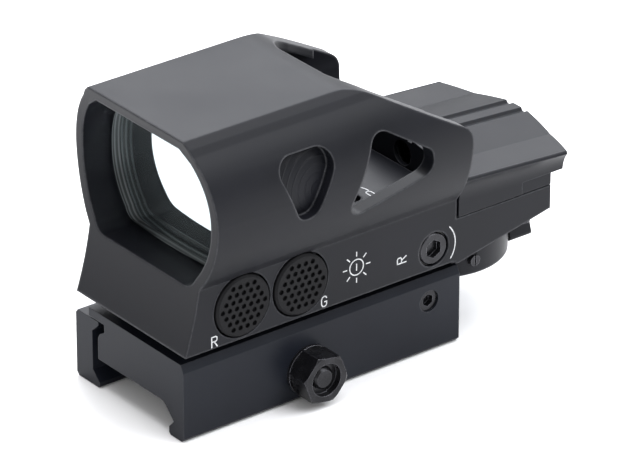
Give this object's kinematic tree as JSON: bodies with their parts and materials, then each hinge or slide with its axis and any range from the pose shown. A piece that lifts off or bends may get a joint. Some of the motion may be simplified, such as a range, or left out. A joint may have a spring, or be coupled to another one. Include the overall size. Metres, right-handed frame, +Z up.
{
  "type": "reflex red dot sight",
  "caption": "Open reflex red dot sight with hooded lens, side push buttons, reticle selector and a cross-bolt rail clamp.",
  "frame": {"origin": "centre of the underside of the bounding box; x = 0 is the sight line", "axes": "+Y is the direction of aim, +X the right-hand side seen from behind, +Z up"},
  "size_m": [0.0392, 0.0828, 0.055],
  "materials": {
    "black_anodised": "matte black anodised, fine blasted",
    "black_rubber": "matt moulded silicone rubber",
    "black_steel": "black oxide, semi gloss",
    "bright_steel": "plain machined steel",
    "coated_glass": "polished, blue-green anti-reflection coating",
    "mirror_glass": "polished, dichroic reflector on the cemented face",
    "black_sealant": "matt bond line",
    "circuit_board": "green solder mask",
    "switch_plastic": "moulded black plastic",
    "chip_plastic": "moulded epoxy",
    "flex_polyimide": "amber film",
    "cell_steel": "nickel-plated cell can",
    "contact_brass": "gold-plated spring brass",
    "spring_steel": "drawn spring wire",
    "cast_zinc": "plain machined alloy",
    "led_lens": "clear epoxy"
  },
  "bodies": {
    "sight_body": {"main_housing": "black_anodised", "emitter_cover": "black_anodised", "emitter_window": "coated_glass", "bottom_plate": "black_anodised", "bottom_plate_screws": "black_steel", "cover_screws": "black_steel", "lens_front_element": "coated_glass", "lens_rear_element": "mirror_glass", "lens_gasket": "black_sealant", "keypad_frame": "black_rubber", "switch_board": "circuit_board", "tact_switches": "switch_plastic", "board_components": "chip_plastic", "flex_cable": "flex_polyimide", "battery": "cell_steel", "battery_contact": "contact_brass", "boss_screw": "black_steel", "windage_spring": "spring_steel", "elevation_spring": "spring_steel", "yaw_pin": "bright_steel", "riser": "black_anodised", "mount_screws": "black_steel", "nut_washer": "black_steel", "guide_pin": "bright_steel", "pin_lock_screw": "black_steel"},
    "red_button": {"red_button": "black_rubber"},
    "green_button": {"green_button": "black_rubber"},
    "windage_screw": {"windage_screw": "black_steel", "windage_screw_seal": "black_sealant"},
    "elevation_screw": {"elevation_screw": "black_steel", "elevation_screw_seal": "black_sealant"},
    "emitter_cradle": {"emitter_cradle": "cast_zinc", "pitch_pin": "bright_steel"},
    "emitter_arm": {"emitter_arm": "cast_zinc", "led": "led_lens", "detent_ball": "bright_steel"},
    "reticle_selector": {"selector_lever": "black_anodised", "selector_shaft": "bright_steel", "reticle_plate": "bright_steel"},
    "battery_cap": {"battery_cap": "black_anodised", "battery_cap_seal": "black_sealant"},
    "clamp_nut": {"clamp_nut": "black_steel"},
    "clamp_jaw": {"clamp_jaw": "black_anodised", "cross_bolt": "black_steel"}
  },
  "joints": [
    {"name": "red_button_press", "type": "slide", "parent": "sight_body", "child": "red_button", "axis": [1, 0, 0], "range_m": [0, 0.0005], "stiffness_N_per_m": 3000},
    {"name": "green_button_press", "type": "slide", "parent": "sight_body", "child": "green_button", "axis": [1, 0, 0], "range_m": [0, 0.0005], "stiffness_N_per_m": 3000},
    {"name": "windage_screw_turn", "type": "hinge", "parent": "sight_body", "child": "windage_screw", "pos_m": [0, -0.0109, 0.0205], "axis": [1, 0, 0], "range_deg": [-83, 83]},
    {"name": "elevation_screw_turn", "type": "hinge", "parent": "sight_body", "child": "elevation_screw", "pos_m": [0, 0.001, 0.027], "axis": [0, 0, -1], "range_deg": [-264, 264]},
    {"name": "emitter_yaw", "type": "hinge", "parent": "sight_body", "child": "emitter_cradle", "pos_m": [0, -0.0175, 0.0214], "axis": [0, 0, 1], "range_deg": [-1, 1]},
    {"name": "emitter_pitch", "type": "hinge", "parent": "emitter_cradle", "child": "emitter_arm", "pos_m": [0, -0.02, 0.0214], "axis": [1, 0, 0], "range_deg": [-1, 1]},
    {"name": "reticle_selector_swing", "type": "hinge", "parent": "emitter_arm", "child": "reticle_selector", "pos_m": [0, -0.033, 0.0248], "axis": [0, -1, 0], "range_deg": [0, 48]},
    {"name": "battery_cap_turn", "type": "hinge", "parent": "sight_body", "child": "battery_cap", "pos_m": [0, -0.0217, 0.012], "axis": [0, 0, -1], "range_deg": [-90, 0]},
    {"name": "clamp_nut_turn", "type": "hinge", "parent": "sight_body", "child": "clamp_nut", "pos_m": [-0.016, 0.0145, 0.0053], "axis": [1, 0, 0], "range_deg": [0, 772]},
    {"name": "clamp_jaw_close", "type": "slide", "parent": "sight_body", "child": "clamp_jaw", "axis": [-1, 0, 0], "range_m": [0, 0.0015]}
  ],
  "couplings": [
    {"joint": "windage_screw_turn", "follows": "emitter_yaw", "ratio": -82.938},
    {"joint": "elevation_screw_turn", "follows": "emitter_pitch", "ratio": -263.89},
    {"joint": "clamp_nut_turn", "follows": "clamp_jaw_close", "rad_per_m": 8976}
  ]
}
